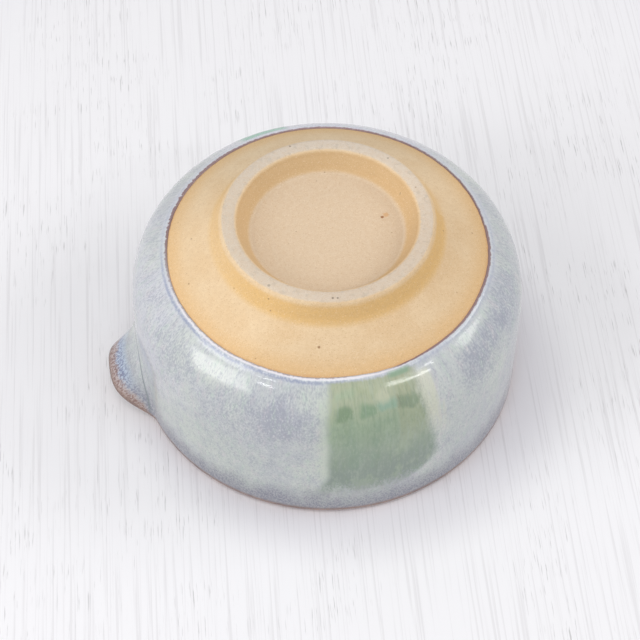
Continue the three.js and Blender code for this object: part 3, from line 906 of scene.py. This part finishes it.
def painted_boards(n, place, colour, strength):
    """White paint in which long fine lines of grain show, and in places short darker pores."""
    lines = n.ramp(board_grain(n, place, GRAIN_LINES), 0.50, 0.68)
    worn = n.ramp(n.noise(place, 22.0, 2), 0.42, 0.60)
    pores = n.times(n.ramp(board_grain(n, place, GRAIN_PORES), 0.60, 0.70), worn)
    colour = n.mix(n.times(lines, 0.48 * strength), colour, rgb(219, 217, 220))
    return n.mix(n.times(pores, 0.75 * strength), colour, rgb(190, 188, 190))


# Shades on the stage: x, y, radius to which they are full, radius at which they end, and what they leave of
# the colour. Those on the floor also take back the glow of the clay, which the lamps below the floor light.
FLOOR_SHADES = (
    (0, 0, 38, 70, rgb(186, 214, 255)),
    (0, 0, 44, 96, rgb(225, 225, 227)),
)
TABLE_SHADES = ((-7, -8, 62, 84, rgb(238, 237, 239)),)


def stage_material(name, colour, grain, shades, clear_from, clear_by, reflected=True):
    """A pale surface that only the camera and reflections see, from its front, fading out with distance.

    grain is how strongly the boards show. What isn't reflected lets reflections see the world, which has
    the same pale colour, and the lamps that stand beyond it."""
    n = Nodes(bpy.data.materials.new(name))
    place = n.add("TexCoord").outputs["Object"]
    away = n.add("VectorMath", {0: place}, operation="LENGTH").outputs["Value"]
    rays = n.add("LightPath").outputs
    seen = n.math("MAXIMUM", rays["Is Camera Ray"], rays["Is Transmission Ray"])
    if reflected:
        seen = n.math("MAXIMUM", seen, rays["Is Glossy Ray"])
    front = n.math("SUBTRACT", 1.0, n.add("NewGeometry").outputs["Backfacing"])
    share = n.times(seen, front, n.ramp(away, clear_by * MM, clear_from * MM))
    painted = painted_boards(n, place, colour, grain)
    for x, y, full_to, ends_at, left in shades:
        off = n.add("VectorMath", {0: place, 1: (x * MM, y * MM, 0)}, operation="DISTANCE").outputs["Value"]
        painted = n.mix(n.ramp(off, ends_at * MM, full_to * MM), painted, left, "MULTIPLY")
    paint = n.add("BsdfDiffuse", {"Color": painted}).outputs[0]
    clear = n.add("BsdfTransparent").outputs[0]
    mixed = n.add("MixShader", {0: share, 1: clear, 2: paint}).outputs[0]
    n.add("OutputMaterial", {"Surface": mixed})
    return n.owner


def stage_disc(name, radius, height, facing_up, material):
    """A round stage surface, whose front is up or down."""
    count = 96
    turn = [2 * math.pi * k / count * (1 if facing_up else -1) for k in range(count)]
    points = [(radius * MM * math.cos(t), radius * MM * math.sin(t), 0) for t in turn]
    mesh = bpy.data.meshes.new(name)
    mesh.from_pydata(points, [], [tuple(range(count))])
    mesh.materials.append(material)
    disc = placed(name, mesh)
    disc.location.z = height * MM


def lamp(name, azimuth, elevation, width, height, tilt, brightness):
    """A soft rectangular lamp that faces the bowl. Its face is brightness times as bright as white."""
    data = bpy.data.lights.new(name, "AREA")
    data.shape = "RECTANGLE"
    data.size, data.size_y = width * MM, height * MM
    data.energy = brightness * math.pi * data.size * data.size_y
    source = placed(name, data)
    turn, rise = math.radians(azimuth), math.radians(elevation)
    towards = Vector((math.cos(turn) * math.cos(rise), math.sin(turn) * math.cos(rise), math.sin(rise)))
    source.location = Vector((0, 0, HEIGHT / 2)) * MM + towards * LAMP_DISTANCE * MM
    side = Vector((0, 0, 1)).cross(towards).normalized()
    facing = Matrix((side, towards.cross(side), towards)).transposed()
    source.rotation_euler = (facing @ Matrix.Rotation(math.radians(tilt), 3, "Z")).to_euler()
    source.visible_camera = False


def make_world(light, strength, seen):
    """Even light from all round, which the camera and reflections see as a pale background."""
    world = bpy.data.worlds.new("studio")
    bpy.context.scene.world = world
    n = Nodes(world)
    rays = n.add("LightPath").outputs
    glossy_or_clear = n.math("MAXIMUM", rays["Is Glossy Ray"], rays["Is Transmission Ray"])
    shown = n.math("MAXIMUM", rays["Is Camera Ray"], glossy_or_clear)
    lighting = n.add("Background", {"Color": light, "Strength": strength}).outputs[0]
    background = n.add("Background", {"Color": seen, "Strength": 1.0}).outputs[0]
    mixed = n.add("MixShader", {0: shown, 1: lighting, 2: background}).outputs[0]
    n.add("OutputWorld", {"Surface": mixed})


# The camera, fitted to the outlines in the photograph: its place in millimetres, where it looks, which way
# is up in the picture, and its lens in millimetres on a sensor 36 mm wide.
CAMERA_PLACE = Vector((67.91, -385.13, -463.40))
CAMERA_FORWARD = Vector((-0.1012, 0.5943, 0.7978))
CAMERA_UP = Vector((-0.1319, 0.7828, -0.6082))
CAMERA_LENS = 106.875
CAMERA_SENSOR = 36.0


def make_camera():
    """The photograph's view: from below the bowl, with the picture turned over."""
    data = bpy.data.cameras.new("camera")
    data.sensor_width = CAMERA_SENSOR
    data.lens = CAMERA_LENS
    data.clip_start, data.clip_end = 0.02, 20.0
    camera = placed("camera", data)
    forward = CAMERA_FORWARD.normalized()
    side = forward.cross(CAMERA_UP.normalized()).normalized()
    up = side.cross(forward)
    turned = Matrix((side, up, -forward)).transposed()
    camera.matrix_world = Matrix.Translation(CAMERA_PLACE * MM) @ turned.to_4x4()
    bpy.context.scene.camera = camera


# Lamps: name, azimuth, elevation, width and height of the face, its tilt in degrees, brightness. Most shine
# from below the floor, because the camera looks at the bowl from there.
LAMP_DISTANCE = 1100.0
LAMPS = (
    ("window", 340, -27, 560, 370, 27, 4.2),
    ("window_glow", 340, -27, 780, 560, 27, 1.0),
    ("strip_small", 316, -41.2, 150, 20, 0, 21.0),
    ("strip_front", 277, -72, 430, 160, 0, 7.0),
    ("strip_left", 2, -47, 600, 60, 0, 10.0),
    ("strip_right", 228, -44.5, 400, 40, -29, 13.0),
    ("fill_right", 183, -36, 560, 440, 0, 3.4),
    ("ceiling", 250, 62, 800, 640, 0, 2.2),
    ("overhead", 70, 84, 700, 700, 0, 1.5),
)

# How bright the world's even light is, and how far the two discs of the stage reach.
WORLD_LIGHT = 0.57
TABLE_RADIUS = 250.0
FLOOR_RADIUS = 1400.0


def make_stage():
    """The floor under the foot, which shows from above, and the table at the rim, from below."""
    make_world(rgb(255, 255, 255), WORLD_LIGHT, rgb(236, 235, 240))
    table = stage_material("table_below_rim", rgb(242, 241, 244), 1.0, TABLE_SHADES, 190, TABLE_RADIUS)
    stage_disc("table_below_rim", TABLE_RADIUS, HEIGHT, False, table)
    pale = rgb(244, 243, 247)
    floor = stage_material("floor", pale, 0.3, FLOOR_SHADES, 400, FLOOR_RADIUS, reflected=False)
    stage_disc("floor", FLOOR_RADIUS, 0, True, floor)
    for values in LAMPS:
        lamp(*values)


make_camera()
make_stage()

clay = clay_material()
outside = glaze_material("pale_glaze_outside", has_edge=True)
lining = glaze_material("pale_glaze_inside", inside=True, has_lip=False)
lip = glaze_material("iron_glaze_lip")
pour = glaze_material("green_glaze_pour", has_edge=True)

whole_clay = make_bowl_clay()
bowl_clay = cut("stoneware_bowl", whole_clay, notch_plug(SLIP_SEAM), "DIFFERENCE")
spout_clay = cut("stoneware_spout", whole_clay, notch_plug(0.0), "INTERSECT")
bpy.data.objects.remove(whole_clay)

# The green pours: name, from angle, to angle, from height, to height.
FRONT_POUR = ("green_pour_on_front", 241.8, 283.8, 15.6, 64.0)
BACK_POUR = ("green_pour_on_back", 65.4, 88.2, 15.6, 59.5)
pieces = (
    (bowl_clay, "bowl_body", "bare_clay", clay),
    (spout_clay, "spout", "bare_clay", clay),
    (make_foot(), "foot_ring", "bare_clay", clay),
    (make_outside_coat(), "outside_glaze", "pale_glaze", outside),
    (make_lining(), "lining_glaze", "pale_glaze", lining),
    (make_lip_band(), "lip_band", "iron_glaze", lip),
    (make_pour(*FRONT_POUR), "green_pour_front", "green_glaze", pour),
    (make_pour(*BACK_POUR), "green_pour_back", "green_glaze", pour),
)
for piece, node, slot, material in pieces:
    piece.data.materials.clear()
    piece.data.materials.append(material)
    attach(piece, "root")
    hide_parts(node)

bpy.context.scene.view_settings.view_transform = "Standard"

bpy.context.view_layer.update()
